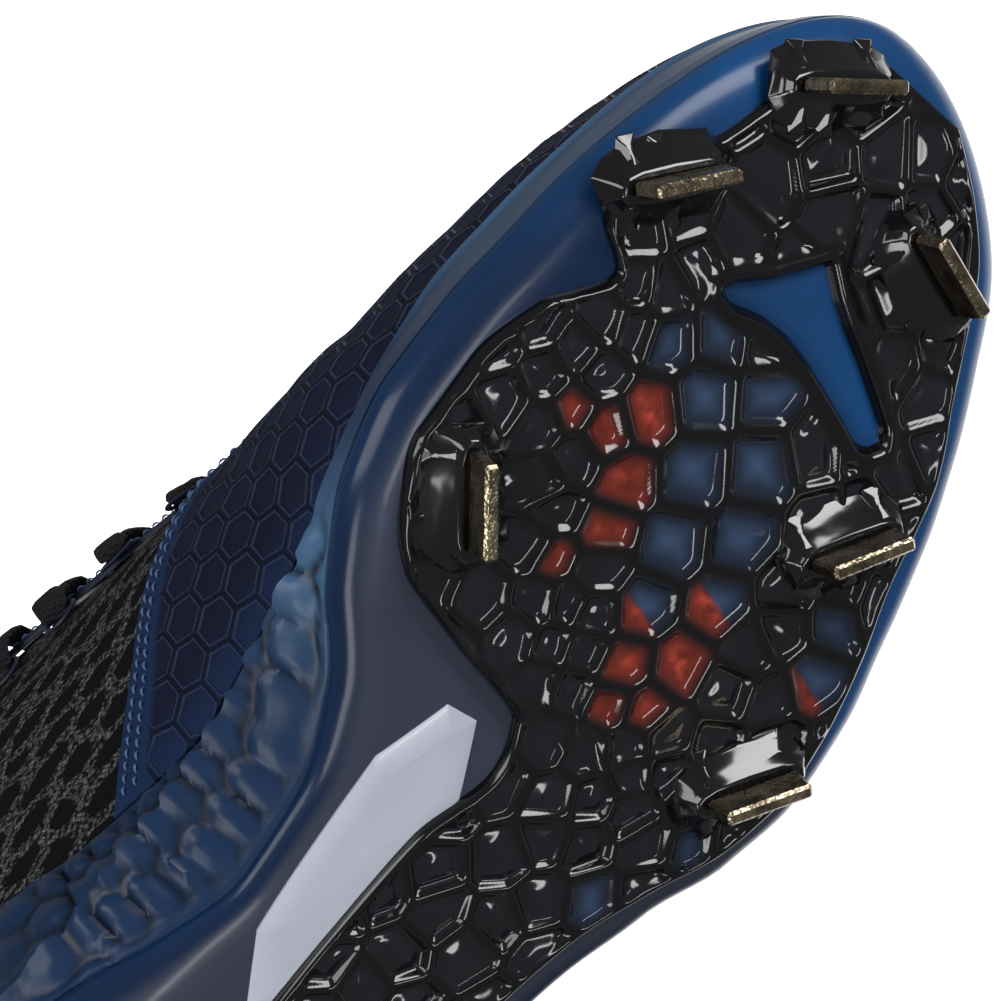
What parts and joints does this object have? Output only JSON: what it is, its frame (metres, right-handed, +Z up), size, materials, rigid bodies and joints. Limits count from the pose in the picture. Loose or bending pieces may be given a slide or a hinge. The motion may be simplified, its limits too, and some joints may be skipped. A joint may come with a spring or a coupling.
{
  "type": "baseball cleat",
  "caption": "Left baseball cleat lying on its outer side, with a knit upper, a sculpted blue rand and a glossy plate with steel blades.",
  "frame": {"origin": "centre of the bounding box at its bottom, on the floor under the lying shoe", "axes": "+X from the heel to the toe, +Z up from the outer side to the inner side of the shoe, -Y the way the sole faces"},
  "size_m": [0.2972, 0.1564, 0.1043],
  "materials": {
    "carrier": "glossy moulded blue",
    "sidewall": "satin blue, sculpted",
    "upper": "matte black and grey knit",
    "guard": "embossed navy skin",
    "eyestay": "satin film over knit",
    "tongue": "matte padded cloth",
    "insole": "matte cloth",
    "lace": "flat woven lace",
    "outsole_plate": "smoky glossy plate",
    "blade": "brushed steel with a light gold cast"
  },
  "bodies": {
    "root": {"carrier": "carrier", "sidewall": "sidewall", "upper": "upper", "guard": "guard", "eyestay": "eyestay", "tongue": "tongue", "insole": "insole", "lace": "lace", "outsole_plate": "outsole_plate", "blade_1": "blade", "blade_2": "blade", "blade_3": "blade", "blade_4": "blade", "blade_5": "blade", "blade_6": "blade", "blade_7": "blade", "blade_8": "blade", "blade_9": "blade"}
  },
  "joints": []
}
